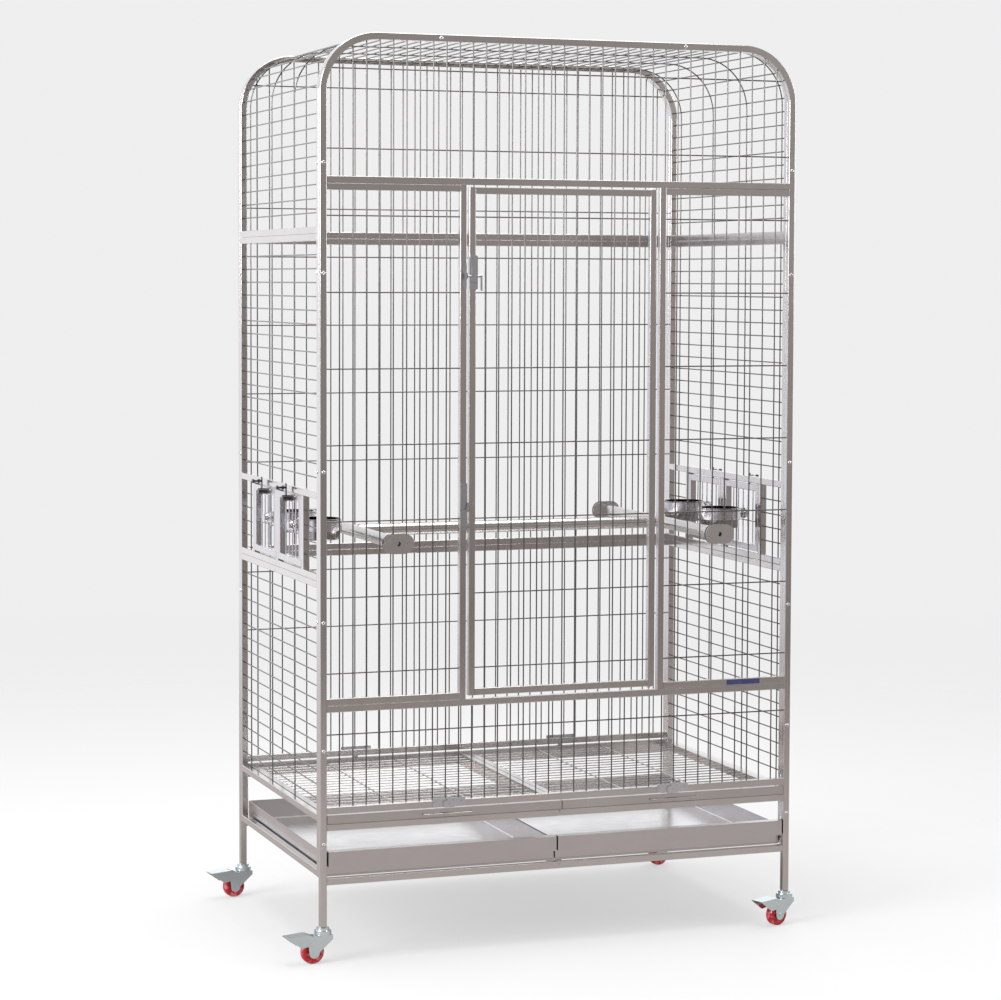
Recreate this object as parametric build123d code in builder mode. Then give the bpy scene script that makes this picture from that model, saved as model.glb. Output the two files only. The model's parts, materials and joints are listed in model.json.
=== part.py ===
"""A large parrot cage of welded square tube and wire, on four braked casters.

Millimetres, +Z up.  The origin is on the floor, under the middle of the cage;
the front, with the door, faces -Y.
"""

import os
from math import cos, pi, sin, sqrt

from build123d import *

os.makedirs("parts", exist_ok=True)

# ---------------------------------------------------------------- sizes
cage_width = 1200.0
cage_depth = 750.0
cage_height = 2150.0

tube = 16.0
tube_wall = 1.2
tube_corner = 1.5
arch_radius = 138.0
wire = 3.2
weld_gap = 0.02

# heights of the seams between panels, and of the undersides of the rails
lower_rail_low = 180.5
side_tray_rail_low = 197.0
stand_rail_low = 307.0
side_floor_rail_low = 326.5
lower_panel_top = 599.5
side_seam = 887.0
feeder_rail_low = 1076.8
roof_seam = 1689.0
arch_seam = 1804.5

# wire spacings
bay_count = 36
side_wire_pitch = 32.7
feeder_wire_pitch = 34.8
rib_pitch = 204.0
rib_middle_y = -16.0
divider_pitch = 224.0
feeder_middle_y = 2.0
front_row_top = 1730.5
front_row_pitch = 176.4
front_row_count = 7
arch_rows = (1884.0, 2067.0)
lower_row = 530.0
back_arch_rows = (2074.0, 1764.0)
back_row_top = 1641.0
back_row_pitch = 174.5
back_row_count = 4
back_lower_rows = (835.5, 687.0)

# front door
door_gap_left = 6.5
door_gap_right = 9.0
door_gap_below = 8.0
door_gap_above = 4.7
fixed_panel_width = 355.5
hinge_pin = 5.0
hinge_inset = 11.0
running_gap = 0.05
hinge_bush = 16.0

# feeder doors and bowls
feeder_side_gap = 1.5
feeder_low_gap = 3.6
feeder_top_gap = 3.0
pivot_pin = 4.0
pivot_depth = 9.0
bowl_radius = 50.5
bowl_wall = 1.2
bowl_rim = 2.5
bowl_height = 50.0
bowl_top = 1012.0
bowl_reach = 66.0
ring_width = 3.6
ring_height = 26.0
ring_gap = 0.5
knob_radius = 11.0
knob_length = 8.0
clamp_stud = 8.0
clamp_wire_drop = 16.0
washer = 26.0
washer_plate = 2.0
striker_length = 56.0
striker_height = 15.0
striker_plate = 1.5
striker_offset = -20.0
latch_body = 14.0
latch_body_length = 16.0
tab_stand_off = 6.0
knob_rise = 25.0
latch_disc = 10.0
disc_length = 5.0
disc_places = (12.0, 26.0)
feeder_bars = 5

# trays and grates
slide_gap = 0.5
tray_edge = 580.0
tray_seam = -12.0
tray_seam_gap = 4.0
tray_setback = 20.0
tray_wall = 1.2
tray_height = 50.0
tray_lip_low = 223.0
tray_lip_top = 258.0
grate_height = 20.0
grate_slot = 23.5
grate_side_gap = 1.0
grate_wire_pitch = 33.0
grate_bar_pitch = 200.0

# perches
perch = 30.0
perch_wall = 1.5
perch_inset = 191.0
perch_z = 970.0
clamp_length = 75.0
clamp_height = 47.0
clamp_plate = 2.0
clamp_bolt_reach = 27.0
clamp_hole = 5.3
wire_clearance = 0.35

# casters
wheel_radius = 27.0
wheel_width = 22.0
axle = 8.0
caster_trail = 27.0
fork_plate = 2.0
fork_inner = 12.5
fork_rise = 11.0
leg_rise = 17.0
cup_radius = 20.0
cup_step = 6.5
cheek_eye = 13.0
pivot_eye = 6.0
king_pin = 8.0
stem = 11.0
pedal_plate = 1.5
pedal_inner = 16.2
caster_turns = {"front_left": 8.0, "back_left": 10.0, "front_right": 20.0, "back_right": 12.0}

# ---------------------------------------------------------------- worked out
fork_top = 2 * wheel_radius + fork_rise
leg_bottom = fork_top + leg_rise
floor_rail_low = stand_rail_low + tube + grate_slot
half_width = cage_width / 2
half_depth = cage_depth / 2
post_x = half_width - tube / 2
post_y = half_depth - tube / 2
inner_x = half_width - tube
inner_y = half_depth - tube
stile_y = inner_y - tube / 2
bay_y = inner_y - tube
bend_radius = arch_radius - tube / 2
arch_centre_x = half_width - arch_radius
arch_centre_z = cage_height - arch_radius
arch_line_z = cage_height - tube / 2
wire_layer = wire + weld_gap
wire_pitch = (cage_width - 2 * tube) / bay_count
wire_lines = [-inner_x + wire_pitch * i for i in range(1, bay_count)]
fixed_inner_x = half_width - fixed_panel_width
door_left = -fixed_inner_x + door_gap_left
door_right = fixed_inner_x - door_gap_right
perch_x = half_width - perch_inset
door_bottom = lower_panel_top + door_gap_below
door_top = arch_seam - door_gap_above
rib_lines = [rib_middle_y + rib_pitch * (i - 1.5) for i in range(4)]
divider_lines = [feeder_middle_y + divider_pitch * i for i in (-1, 0, 1)]
feeder_low = side_seam + tube
feeder_opening = divider_pitch - tube
feeder_centres = [feeder_middle_y - divider_pitch / 2, feeder_middle_y + divider_pitch / 2]


# ---------------------------------------------------------------- helpers
def spread(low, high, pitch):
    """Places evenly spaced between two edges, at about the pitch asked for."""
    spaces = max(1, round((high - low) / pitch))
    return [low + (high - low) * i / spaces for i in range(1, spaces)]


def square_tube(start, end):
    """Add a straight hollow square tube that stops a weld gap short of both ends."""
    axis = Vector(*end) - Vector(*start)
    first = Vector(*start) + axis.normalized() * weld_gap
    with BuildSketch(Plane(origin=first, z_dir=axis)) as section:
        RectangleRounded(tube, tube, tube_corner)
        hollow = tube - 2 * tube_wall
        RectangleRounded(hollow, hollow, tube_corner / 2, mode=Mode.SUBTRACT)
    extrude(section.sketch, amount=axis.length - 2 * weld_gap)


def round_rod(start, end, diameter):
    """Add a straight round rod between two points."""
    axis = Vector(*end) - Vector(*start)
    with BuildSketch(Plane(origin=start, z_dir=axis)) as section:
        Circle(diameter / 2)
    extrude(section.sketch, amount=axis.length)


def block(low, high):
    """Add a plain block between two corners."""
    size = Vector(*high) - Vector(*low)
    middle = (Vector(*high) + Vector(*low)) / 2
    with Locations(middle):
        Box(size.X, size.Y, size.Z)


def cut_block(low, high):
    """Cut a plain block between two corners."""
    size = Vector(*high) - Vector(*low)
    middle = (Vector(*high) + Vector(*low)) / 2
    with Locations(middle):
        Box(size.X, size.Y, size.Z, mode=Mode.SUBTRACT)


def upright_wires(places, low, high):
    """Add upright wires at (x, y) places, a weld gap short of the rails."""
    with BuildSketch(Plane.XY.offset(low + weld_gap)) as section:
        with Locations(*places):
            Circle(wire / 2)
    extrude(section.sketch, amount=high - low - 2 * weld_gap)


def wires_along_x(places, low, high):
    """Add wires along X at (y, z) places."""
    with BuildSketch(Plane.YZ.offset(low + weld_gap)) as section:
        with Locations(*places):
            Circle(wire / 2)
    extrude(section.sketch, amount=high - low - 2 * weld_gap)


def wires_along_y(places, low, high):
    """Add wires along Y at (x, z) places."""
    with BuildSketch(Plane.XZ.offset(-high + weld_gap)) as section:
        with Locations(*places):
            Circle(wire / 2)
    extrude(section.sketch, amount=high - low - 2 * weld_gap)


def arch_height(x, inset):
    """Height of the arch at x, on the line that lies the inset inside its outer face."""
    reach = x - arch_centre_x
    if reach <= 0:
        return cage_height - inset
    return arch_centre_z + sqrt((arch_radius - inset) ** 2 - reach ** 2)


def arch_reach(z, inset):
    """Half width of the arch at a height, on the line the inset inside its outer face."""
    rise = z - arch_centre_z
    if rise <= 0:
        return half_width - inset
    return arch_centre_x + sqrt((arch_radius - inset) ** 2 - rise ** 2)


def arch_point(run, start_z, inset):
    """Point (x, z) at a run along the tube's centre line, moved inwards by the inset."""
    side = arch_centre_z - start_z
    bend = bend_radius * pi / 2
    top = 2 * arch_centre_x
    if run > side + bend + top / 2:
        x, z = arch_point(2 * (side + bend) + top - run, start_z, inset)
        return -x, z
    if run <= side:
        return -post_x + inset, start_z + run
    if run <= side + bend:
        turn = (run - side) / bend_radius
        radius = bend_radius - inset
        return -arch_centre_x - radius * cos(turn), arch_centre_z + radius * sin(turn)
    return -arch_centre_x + run - side - bend, arch_line_z - inset


def arch_length(start_z):
    """Length of the tube's centre line from one foot of the arch to the other."""
    return 2 * (arch_centre_z - start_z) + bend_radius * pi + 2 * arch_centre_x


def arch_path(y, low, inset):
    """The bent centre line of a hoop."""
    side = post_x - inset
    top = arch_line_z - inset
    with BuildLine(Plane.XZ.offset(-y)) as path:
        FilletPolyline((-side, low), (-side, top), (side, top), (side, low), radius=bend_radius - inset)
    return path.wire()


def tube_hoop(y, low):
    """Add a square tube bent over the cage, with its feet at the height low."""
    foot = low + weld_gap
    with BuildSketch(Plane(origin=(-post_x, y, foot), x_dir=(1, 0, 0), z_dir=(0, 0, 1))) as section:
        RectangleRounded(tube, tube, tube_corner)
        hollow = tube - 2 * tube_wall
        RectangleRounded(hollow, hollow, tube_corner / 2, mode=Mode.SUBTRACT)
    sweep(section.sketch, path=arch_path(y, foot, 0))


def wire_hoop(y, low, inset):
    """Add a round wire bent over the cage, inside the long wires."""
    foot = low + weld_gap
    with BuildSketch(Plane(origin=(-post_x + inset, y, foot), x_dir=(1, 0, 0), z_dir=(0, 0, 1))) as section:
        Circle(wire / 2)
    sweep(section.sketch, path=arch_path(y, foot, inset))


# ---------------------------------------------------------------- top tier
with BuildPart() as front_arch_hoop:
    tube_hoop(-post_y, arch_seam)

with BuildPart() as back_arch_hoop:
    tube_hoop(post_y, roof_seam)

with BuildPart() as roof_hoops:
    for y in (-stile_y, stile_y):
        tube_hoop(y, roof_seam)

with BuildPart() as top_rails:
    square_tube((-inner_x, -post_y, arch_seam + tube / 2), (inner_x, -post_y, arch_seam + tube / 2))
    square_tube((-inner_x, post_y, roof_seam + tube / 2), (inner_x, post_y, roof_seam + tube / 2))
    for x in (-post_x, post_x):
        square_tube((x, -bay_y, roof_seam + tube / 2), (x, bay_y, roof_seam + tube / 2))

# ---------------------------------------------------------------- front and back frames
with BuildPart() as front_fixed_frames:
    for side in (-1, 1):
        inner_post = side * (fixed_inner_x + tube / 2)
        for x in (side * post_x, inner_post):
            square_tube((x, -post_y, lower_panel_top), (x, -post_y, arch_seam))
        for z in (lower_panel_top + tube / 2, arch_seam - tube / 2):
            near = side * (fixed_inner_x + tube)
            square_tube((near, -post_y, z), (side * inner_x, -post_y, z))


def stand_frame(y, top):
    """Add two legs with the floor, stand and lower rails of the front or back."""
    for x in (-post_x, post_x):
        square_tube((x, y, floor_rail_low), (x, y, top))
        square_tube((x, y, leg_bottom), (x, y, floor_rail_low))
    for low in (lower_rail_low, stand_rail_low, floor_rail_low):
        square_tube((-inner_x, y, low + tube / 2), (inner_x, y, low + tube / 2))


with BuildPart() as front_lower_frame:
    stand_frame(-post_y, lower_panel_top)
    top_rail_z = lower_panel_top - tube / 2
    square_tube((-inner_x, -post_y, top_rail_z), (inner_x, -post_y, top_rail_z))

with BuildPart() as back_frame:
    stand_frame(post_y, side_seam)
    for x in (-post_x, post_x):
        square_tube((x, post_y, side_seam), (x, post_y, roof_seam))
    for z in (side_seam - tube / 2, side_seam + tube / 2, roof_seam - tube / 2):
        square_tube((-inner_x, post_y, z), (inner_x, post_y, z))

with BuildPart() as centre_rails:
    for low in (lower_rail_low, stand_rail_low):
        z = low + tube / 2
        square_tube((0, -inner_y, z), (0, inner_y, z))
        for face in (-1, 1):
            start = half_depth + weld_gap
            round_rod((-3.0, face * start, z + 3.0), (-3.0, face * (start + 3.0), z + 3.0), 10.0)


# ---------------------------------------------------------------- side frames
def side_frame(x):
    """Add one side's upper and lower panel frames, with the feeder openings."""
    inward = -1 if x > 0 else 1
    for y in (-stile_y, stile_y):
        square_tube((x, y, side_tray_rail_low), (x, y, side_seam))
        square_tube((x, y, side_seam), (x, y, roof_seam))
    lows = (side_tray_rail_low, side_floor_rail_low, side_seam - tube, side_seam)
    for low in lows + (feeder_rail_low, roof_seam - tube):
        square_tube((x, -bay_y, low + tube / 2), (x, bay_y, low + tube / 2))
    pivot_z = feeder_low + feeder_low_gap + tube / 2
    for y in divider_lines:
        square_tube((x, y, feeder_low), (x, y, feeder_rail_low))
    for y in feeder_centres:
        for end in (-1, 1):
            face = y + end * feeder_opening / 2
            start = (x, face + end * tube_wall / 2, pivot_z)
            reach = (x, face - end * (feeder_side_gap + pivot_depth - 1.0), pivot_z)
            round_rod(start, reach, pivot_pin)


with BuildPart() as left_frame:
    side_frame(-post_x)

with BuildPart() as right_frame:
    side_frame(post_x)

# ---------------------------------------------------------------- wire mesh
front_rows = [front_row_top - front_row_pitch * i for i in range(front_row_count)]
back_rows = [back_row_top - back_row_pitch * i for i in range(back_row_count)]
front_row_y = -post_y + wire_layer
back_row_y = post_y - wire_layer

with BuildPart() as front_mesh:
    for x in wire_lines:
        upright_wires([(x, -post_y)], arch_seam + tube, arch_height(abs(x) + wire / 2, tube))
    for z in arch_rows:
        reach = arch_reach(z, tube + wire / 2)
        wires_along_x([(front_row_y, z)], -reach, reach)
    fixed_lines = [x for x in wire_lines if abs(x) > fixed_inner_x + 1.5 * tube]
    upright_wires([(x, -post_y) for x in fixed_lines], lower_panel_top + tube, arch_seam - tube)
    fixed_rows = [(front_row_y, z) for z in front_rows]
    wires_along_x(fixed_rows, -inner_x, -fixed_inner_x - tube)
    wires_along_x(fixed_rows, fixed_inner_x + tube, inner_x)
    upright_wires([(x, -post_y) for x in wire_lines], floor_rail_low + tube, lower_panel_top - tube)
    wires_along_x([(front_row_y, lower_row)], -inner_x, inner_x)

with BuildPart() as back_mesh:
    for x in wire_lines:
        upright_wires([(x, post_y)], roof_seam + tube, arch_height(abs(x) + wire / 2, tube))
    for z in back_arch_rows:
        reach = arch_reach(z, tube + wire / 2)
        wires_along_x([(back_row_y, z)], -reach, reach)
    upright_wires([(x, post_y) for x in wire_lines], side_seam + tube, roof_seam - tube)
    upright_wires([(x, post_y) for x in wire_lines], floor_rail_low + tube, side_seam - tube)
    wires_along_x([(back_row_y, z) for z in back_rows], -inner_x, inner_x)
    wires_along_x([(back_row_y, z) for z in back_lower_rows], -inner_x, inner_x)


def side_mesh(x):
    """Add the wires of one side below the roof, around the two feeder openings."""
    rib_x = x - wire_layer if x > 0 else x + wire_layer
    upper = spread(feeder_rail_low + tube, roof_seam - tube, side_wire_pitch)
    lower = spread(side_floor_rail_low + tube, side_seam - tube, side_wire_pitch)
    wires_along_y([(x, z) for z in upper + lower], -bay_y, bay_y)
    rows = spread(feeder_low, feeder_rail_low, feeder_wire_pitch)
    wires_along_y([(x, z) for z in rows], -bay_y, divider_lines[0] - tube / 2)
    wires_along_y([(x, z) for z in rows], divider_lines[2] + tube / 2, bay_y)
    ribs = [(rib_x, y) for y in rib_lines]
    upright_wires(ribs, feeder_rail_low + tube, roof_seam - tube)
    upright_wires(ribs, side_floor_rail_low + tube, side_seam - tube)
    upright_wires([ribs[0], ribs[3]], feeder_low, feeder_rail_low)


with BuildPart() as left_mesh:
    side_mesh(-post_x)

with BuildPart() as right_mesh:
    side_mesh(post_x)

roof_foot = roof_seam + tube
roof_runs = spread(0, arch_length(roof_foot), wire_pitch)
with BuildPart() as roof_long_wires:
    wires_along_y([arch_point(run, roof_foot, 0) for run in roof_runs], -bay_y, bay_y)

with BuildPart() as roof_hoop_wires:
    for y in rib_lines:
        wire_hoop(y, roof_foot, wire_layer)

# ---------------------------------------------------------------- perches
clamp_inner = post_y - wire_layer - wire / 2 - wire_clearance
clamp_outer = post_y + wire / 2 + wire_clearance
perch_end = clamp_inner - clamp_plate - weld_gap
with BuildPart() as perch_tubes:
    for x in (-perch_x, perch_x):
        round_rod((x, -perch_end, perch_z), (x, perch_end, perch_z), perch)
    cross_end = perch_x - perch / 2 - weld_gap
    round_rod((-cross_end, 0, perch_z), (cross_end, 0, perch_z), perch)
    with BuildSketch(Plane.XZ.offset(-cage_depth)) as bores:
        with Locations((-perch_x, perch_z), (perch_x, perch_z)):
            Circle(perch / 2 - perch_wall)
    extrude(bores.sketch, amount=2 * cage_depth, mode=Mode.SUBTRACT)


def perch_clamp(x, face):
    """Add one clamp: a plate each side of the wires, joined by two bolts."""
    for near in (clamp_inner - clamp_plate, clamp_outer):
        plane = Plane(origin=(x, face * near, perch_z), x_dir=(1, 0, 0), z_dir=(0, face, 0))
        with BuildSketch(plane) as plate:
            RectangleRounded(clamp_length, clamp_height, clamp_height / 2 - 1.0)
        extrude(plate.sketch, amount=clamp_plate)
    for offset in (-clamp_bolt_reach, clamp_bolt_reach):
        shank_start = (x + offset, face * (clamp_inner - clamp_plate), perch_z)
        shank_end = (x + offset, face * (clamp_outer + clamp_plate), perch_z)
        round_rod(shank_start, shank_end, 6.0)
        round_rod(shank_end, (x + offset, face * (clamp_outer + clamp_plate + 3.0), perch_z), 11.0)
    hole_start = (x, face * (clamp_outer - 1.0), perch_z)
    with BuildSketch(Plane(origin=hole_start, z_dir=(0, face, 0))) as hole:
        Circle(clamp_hole)
    extrude(hole.sketch, amount=clamp_plate + 2.0, mode=Mode.SUBTRACT)


with BuildPart() as perch_clamps:
    for x in (-perch_x, perch_x):
        for face in (-1, 1):
            perch_clamp(x, face)

# ---------------------------------------------------------------- screws
screw_heights = (
    arch_seam + 46.0,
    arch_seam - 206.0,
    feeder_rail_low + 64.2,
    side_seam - 95.0,
    lower_panel_top - 106.0,
    stand_rail_low - 31.0,
)
screw_head = 9.0
screw_proud = 2.2
with BuildPart() as frame_screws:
    for face in (-1, 1):
        near = face * (half_depth + weld_gap)
        far = face * (half_depth + screw_proud)
        for x in (-post_x, post_x):
            for z in screw_heights:
                round_rod((x, near, z), (x, far, z), screw_head)
        for x in (-arch_centre_x * 2 / 3, arch_centre_x * 2 / 3):
            round_rod((x, near, arch_line_z), (x, far, arch_line_z), screw_head)
    for side in (-1, 1):
        for y in (-stile_y, stile_y):
            for z in screw_heights[:4]:
                near = side * (half_width + weld_gap)
                round_rod((near, y, z), (side * (half_width + screw_proud), y, z), screw_head)

# ---------------------------------------------------------------- front door
hinge_x = door_right - hinge_inset
door_edge = tube / 2
with BuildPart() as door_frame:
    for x in (door_left + door_edge, door_right - door_edge):
        square_tube((x, -post_y, door_bottom), (x, -post_y, door_top))
    for z in (door_bottom + door_edge, door_top - door_edge):
        square_tube((door_left + tube, -post_y, z), (door_right - tube, -post_y, z))
    bush_size = tube - 2 * tube_wall - 2 * weld_gap
    for low in (door_bottom + weld_gap, door_top - hinge_bush - weld_gap):
        with BuildSketch(Plane.XY.offset(low)) as bush:
            with Locations((door_right - door_edge, -post_y)):
                RectangleRounded(bush_size, bush_size, tube_corner / 2)
            with Locations((hinge_x, -post_y)):
                Circle(hinge_pin / 2 + running_gap, mode=Mode.SUBTRACT)
        extrude(bush.sketch, amount=hinge_bush)

pin_depth = hinge_bush - 1.0
with BuildPart() as hinge_pins:
    for near, far in (
        (arch_seam - weld_gap, door_top - pin_depth),
        (lower_panel_top + weld_gap, door_bottom + pin_depth),
    ):
        round_rod((hinge_x, -post_y, near), (hinge_x, -post_y, far), hinge_pin)
    collar = hinge_pin + 5.0
    round_rod((hinge_x, -post_y, door_bottom - 3.5), (hinge_x, -post_y, door_bottom - slide_gap), collar)

with BuildPart() as door_mesh:
    door_lines = [x for x in wire_lines if door_left + 1.5 * tube < x < door_right - 1.5 * tube]
    upright_wires([(x, -post_y) for x in door_lines], door_bottom + tube, door_top - tube)
    wires_along_x([(front_row_y, z) for z in front_rows], door_left + tube, door_right - tube)

latch_x = door_left + door_edge + 2.0
latch_z = arch_seam - 203.5
latch_face = -half_depth - weld_gap
bolt_z = latch_z - 8.5
bolt_y = latch_face - 5.5
bolt_rod = 6.0
bolt_travel = 4.0
latch_case = 16.0
latch_plate = 20.0
with BuildPart() as door_latch_body:
    back = Plane(origin=(latch_x, latch_face, latch_z), x_dir=(1, 0, 0), z_dir=(0, -1, 0))
    with BuildSketch(back) as plate:
        RectangleRounded(latch_plate, 80.0, 5.0)
    extrude(plate.sketch, amount=2.0)
    with BuildSketch(back.offset(2.0)) as case:
        RectangleRounded(latch_case, 48.0, 3.0)
    extrude(case.sketch, amount=8.0, taper=8)
    for offset in (-33.5, 33.5):
        start = (latch_x, latch_face - 2.0, latch_z + offset)
        round_rod(start, (latch_x, latch_face - 4.0, latch_z + offset), 8.0)
    with BuildSketch(Plane.YZ.offset(latch_x - 20.0)) as bore:
        with Locations((bolt_y, bolt_z)):
            Circle(bolt_rod / 2 + running_gap)
    extrude(bore.sketch, amount=40.0, mode=Mode.SUBTRACT)

bolt_tip_x = -fixed_inner_x + slide_gap
lever_x = latch_x + latch_plate / 2 + bolt_travel + slide_gap
with BuildPart() as door_latch_bolt:
    round_rod((bolt_tip_x, bolt_y, bolt_z), (lever_x + 3.0, bolt_y, bolt_z), bolt_rod)
    with BuildSketch(Plane.YZ.offset(lever_x)) as lever:
        with Locations((bolt_y, bolt_z)):
            Circle(5.0)
        with BuildLine():
            Polyline(
                (bolt_y - 4.0, bolt_z),
                (bolt_y + 4.0, bolt_z),
                (bolt_y + 2.5, bolt_z - 30.0),
                (bolt_y - 5.0, bolt_z - 34.0),
                close=True,
            )
        make_face()
    extrude(lever.sketch, amount=4.0)

fixed_edge_x = -fixed_inner_x - tube / 2
lower_latch_z = 1054.0
lock_x = 286.0
lock_z = floor_rail_low + tube / 2
lock_length = 81.0
lock_height = 21.0
lock_plate = 2.0
lock_plate_rise = 3.5
lock_stud = 5.0
lock_turn_length = 30.0
lock_turn_height = 16.0
lock_thumb = 12.0


def face_plate(x, z, width, height, thickness, face, corner):
    """Add a flat plate on the front or back face of a rail."""
    plane = Plane(origin=(x, face * (half_depth + weld_gap), z), x_dir=(1, 0, 0), z_dir=(0, face, 0))
    with BuildSketch(plane) as plate:
        RectangleRounded(width, height, corner)
    extrude(plate.sketch, amount=thickness)


def plate_screws(places, thickness, face, head):
    """Add round screw heads on a plate."""
    start = half_depth + weld_gap + thickness
    for x, z in places:
        round_rod((x, face * start, z), (x, face * (start + 1.8), z), head)


with BuildPart() as latch_plates:
    keeper_z = bolt_z
    face_plate(fixed_edge_x + 2.0, keeper_z, 10.0, 60.0, 2.0, -1, 3.0)
    plate_screws([(fixed_edge_x + 2.0, keeper_z + 25), (fixed_edge_x + 2.0, keeper_z - 25)], 2.0, -1, 6.0)
    with BuildSketch(Plane.YZ.offset(fixed_edge_x - 2.0)) as loop:
        with Locations((bolt_y, bolt_z)):
            Rectangle(11.0, 15.0)
            Circle(bolt_rod / 2 + 1.0, mode=Mode.SUBTRACT)
    extrude(loop.sketch, amount=8.0)
    face_plate(fixed_edge_x + 1.0, lower_latch_z, 17.0, 110.0, 2.0, -1, 3.0)
    for offset in (-47.0, 47.0):
        plate_screws([(fixed_edge_x + 1.0, lower_latch_z + offset)], 2.0, -1, 7.0)
    for face in (-1, 1):
        for x in (-lock_x, lock_x):
            plate_z = lock_z + lock_plate_rise
            face_plate(x, plate_z, lock_length, lock_height, lock_plate, face, 2.0)
            ends = [(x - lock_length / 2 + 7, plate_z), (x + lock_length / 2 - 7, plate_z)]
            plate_screws(ends, lock_plate, face, 8.0)
            stud_end = (x, face * (half_depth + 9.0), lock_z)
            round_rod((x, face * (half_depth + lock_plate), lock_z), stud_end, lock_stud)

hook_x = door_left + 7.0
hook_z = lower_latch_z + 7.0
hook_near = half_depth + 4.6
with BuildPart() as lower_latch_hook:
    round_rod((hook_x, -half_depth - weld_gap, hook_z), (hook_x, -half_depth - 11.0, hook_z), 9.0)
    with BuildSketch(Plane(origin=(0, -hook_near, 0), x_dir=(1, 0, 0), z_dir=(0, -1, 0))) as hook:
        with BuildLine():
            Polyline(
                (hook_x + 2, hook_z + 3),
                (hook_x - 14, hook_z + 3),
                (hook_x - 16, hook_z - 14),
                (hook_x - 27, hook_z - 14),
                (hook_x - 27, hook_z - 20),
                (hook_x - 11, hook_z - 20),
                (hook_x - 9, hook_z - 3),
                (hook_x + 2, hook_z - 3),
                close=True,
            )
        make_face()
    extrude(hook.sketch, amount=4.0)

with BuildPart() as name_plate:
    face_plate(472.0, lower_panel_top + tube / 2, 88.0, 12.0, 1.0, -1, 2.0)

# ---------------------------------------------------------------- feeder doors
feeder_width = feeder_opening - 2 * feeder_side_gap
feeder_door_low = feeder_low + feeder_low_gap
feeder_door_top = feeder_rail_low - feeder_top_gap
pivot_z = feeder_door_low + tube / 2
bowl_x = post_x - bowl_reach
ring_inner = bowl_radius + ring_gap
ring_top = bowl_top - bowl_rim - 0.3
clamp_z = ring_top - ring_height / 2
bowl_flange = bowl_radius + bowl_rim
latch_turn_z = feeder_door_top - 11.0


def feeder_door(side, y):
    """Add a feeder door: frame, bars, the ring for the bowl and its outside clamp knob."""
    x = side * post_x
    low_y = y - feeder_width / 2
    high_y = y + feeder_width / 2
    bottom = feeder_door_low + tube / 2
    with BuildSketch(Plane(origin=(x, high_y, bottom), x_dir=(1, 0, 0), z_dir=(0, -1, 0))) as rail:
        RectangleRounded(tube, tube, tube_corner)
    extrude(rail.sketch, amount=feeder_width)
    for end, face in ((low_y, -1), (high_y, 1)):
        with BuildSketch(Plane(origin=(x, end, pivot_z), z_dir=(0, -face, 0))) as bore:
            Circle(pivot_pin / 2 + running_gap)
        extrude(bore.sketch, amount=pivot_depth, mode=Mode.SUBTRACT)
    for stile in (low_y + tube / 2, high_y - tube / 2):
        square_tube((x, stile, feeder_door_low + tube), (x, stile, feeder_door_top))
    square_tube((x, low_y + tube, feeder_door_top - tube / 2), (x, high_y - tube, feeder_door_top - tube / 2))
    pitch = (feeder_width - 2 * tube) / (feeder_bars + 1)
    bars = [(x, low_y + tube + pitch * (i + 1)) for i in range(feeder_bars) if i != feeder_bars // 2]
    upright_wires(bars, feeder_door_low + tube, feeder_door_top - tube)
    cross_x = x - side * wire_layer
    wires_along_y([(cross_x, clamp_z - clamp_wire_drop)], low_y + tube, high_y - tube)
    upright_wires([(x, y)], clamp_z + clamp_stud, feeder_door_top - tube)
    upright_wires([(x, y)], feeder_door_low + tube, clamp_z - clamp_stud)
    ring_outer = ring_inner + ring_width
    stud_start = (side * (bowl_x + ring_outer - 1.5), y, clamp_z)
    outer_washer = post_x + wire / 2 + 0.5
    inner_washer = post_x - wire_layer - wire / 2 - 0.6 - washer_plate
    stud_end = (side * (outer_washer + washer_plate), y, clamp_z)
    round_rod(stud_start, stud_end, clamp_stud)
    for near in (inner_washer, outer_washer):
        round_rod((side * near, y, clamp_z), (side * (near + washer_plate), y, clamp_z), washer)
    round_rod(stud_end, (side * (outer_washer + washer_plate + knob_length), y, clamp_z), 2 * knob_radius)
    striker_origin = (side * (half_width + weld_gap), y + striker_offset, latch_turn_z)
    with BuildSketch(Plane(origin=striker_origin, x_dir=(0, side, 0), z_dir=(side, 0, 0))) as striker:
        RectangleRounded(striker_length, striker_height, 3.0)
    extrude(striker.sketch, amount=striker_plate)
    with BuildSketch(Plane.XY.offset(ring_top - ring_height)) as ring:
        with Locations((side * bowl_x, y)):
            Circle(ring_outer)
            Circle(ring_inner, mode=Mode.SUBTRACT)
    extrude(ring.sketch, amount=ring_height)


def feeder_latch(side, y):
    """Add a turn latch: a body on the striker plate, a cam tab and a two-disc knob above it."""
    face = half_width + striker_plate + 2 * weld_gap
    body_end = (side * (face + latch_body_length), y, latch_turn_z)
    round_rod((side * face, y, latch_turn_z), body_end, latch_body)
    tab_height = knob_rise + 2 * latch_disc
    tab_plane = Plane(
        origin=(side * (face + tab_stand_off), y, latch_turn_z + knob_rise / 2),
        x_dir=(0, side, 0),
        z_dir=(side, 0, 0),
    )
    with BuildSketch(tab_plane) as tab:
        RectangleRounded(latch_disc, tab_height, 3.0)
    extrude(tab.sketch, amount=2.0)
    knob_z = latch_turn_z + knob_rise
    far = face + disc_places[1] + disc_length
    round_rod((side * (face + tab_stand_off), y, knob_z), (side * far, y, knob_z), latch_disc / 2)
    for near in disc_places:
        start = (side * (face + near), y, knob_z)
        round_rod(start, (side * (face + near + disc_length), y, knob_z), latch_disc)


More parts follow.
